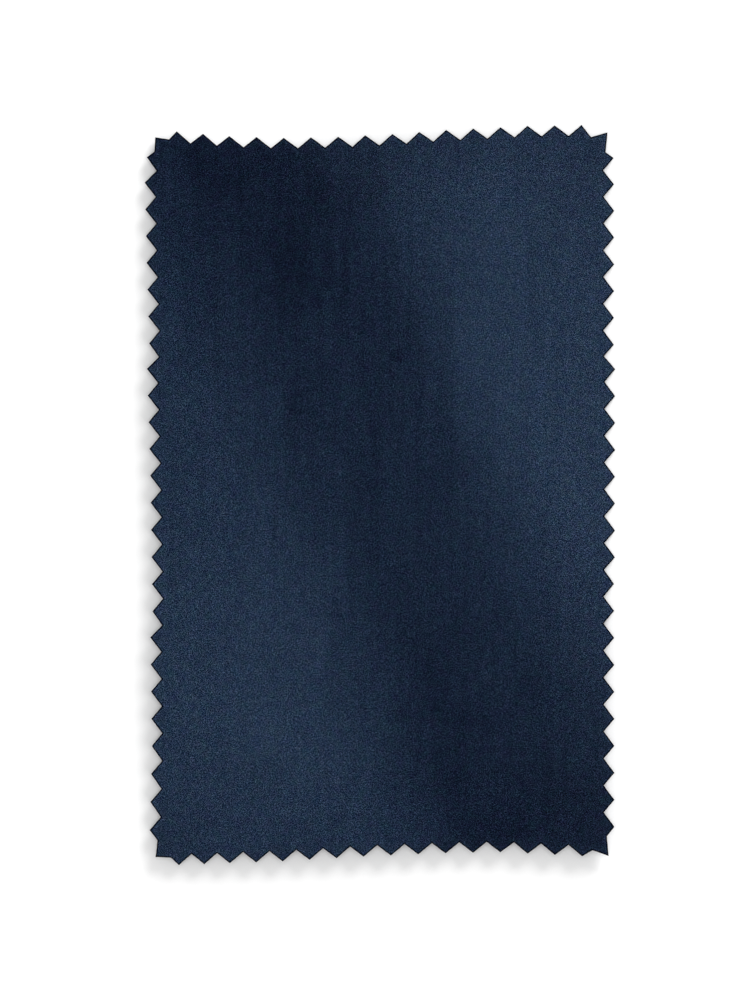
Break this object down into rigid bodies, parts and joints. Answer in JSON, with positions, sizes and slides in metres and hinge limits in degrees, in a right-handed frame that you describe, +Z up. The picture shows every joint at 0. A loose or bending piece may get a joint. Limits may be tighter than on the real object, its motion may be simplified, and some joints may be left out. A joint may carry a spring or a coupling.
{
  "type": "pinked velvet fabric cutting",
  "caption": "Small rectangular cutting of curtain velvet with zigzag pinked edges, lying in soft, uneven swells on a flat surface.",
  "frame": {"origin": "on the surface that the cloth lies on, under the middle of its bounding box", "axes": "+Z up, through the cloth; +Y up its length, along the rows of the pile; +X across it, to the right as seen from above with the pile side up"},
  "size_m": [0.101, 0.1588, 0.0043],
  "materials": {
    "velvet": "short cut pile in navy, darker where it leans away, near black at the cut edge"
  },
  "bodies": {
    "root": {"velvet_cutting": "velvet"}
  },
  "joints": []
}
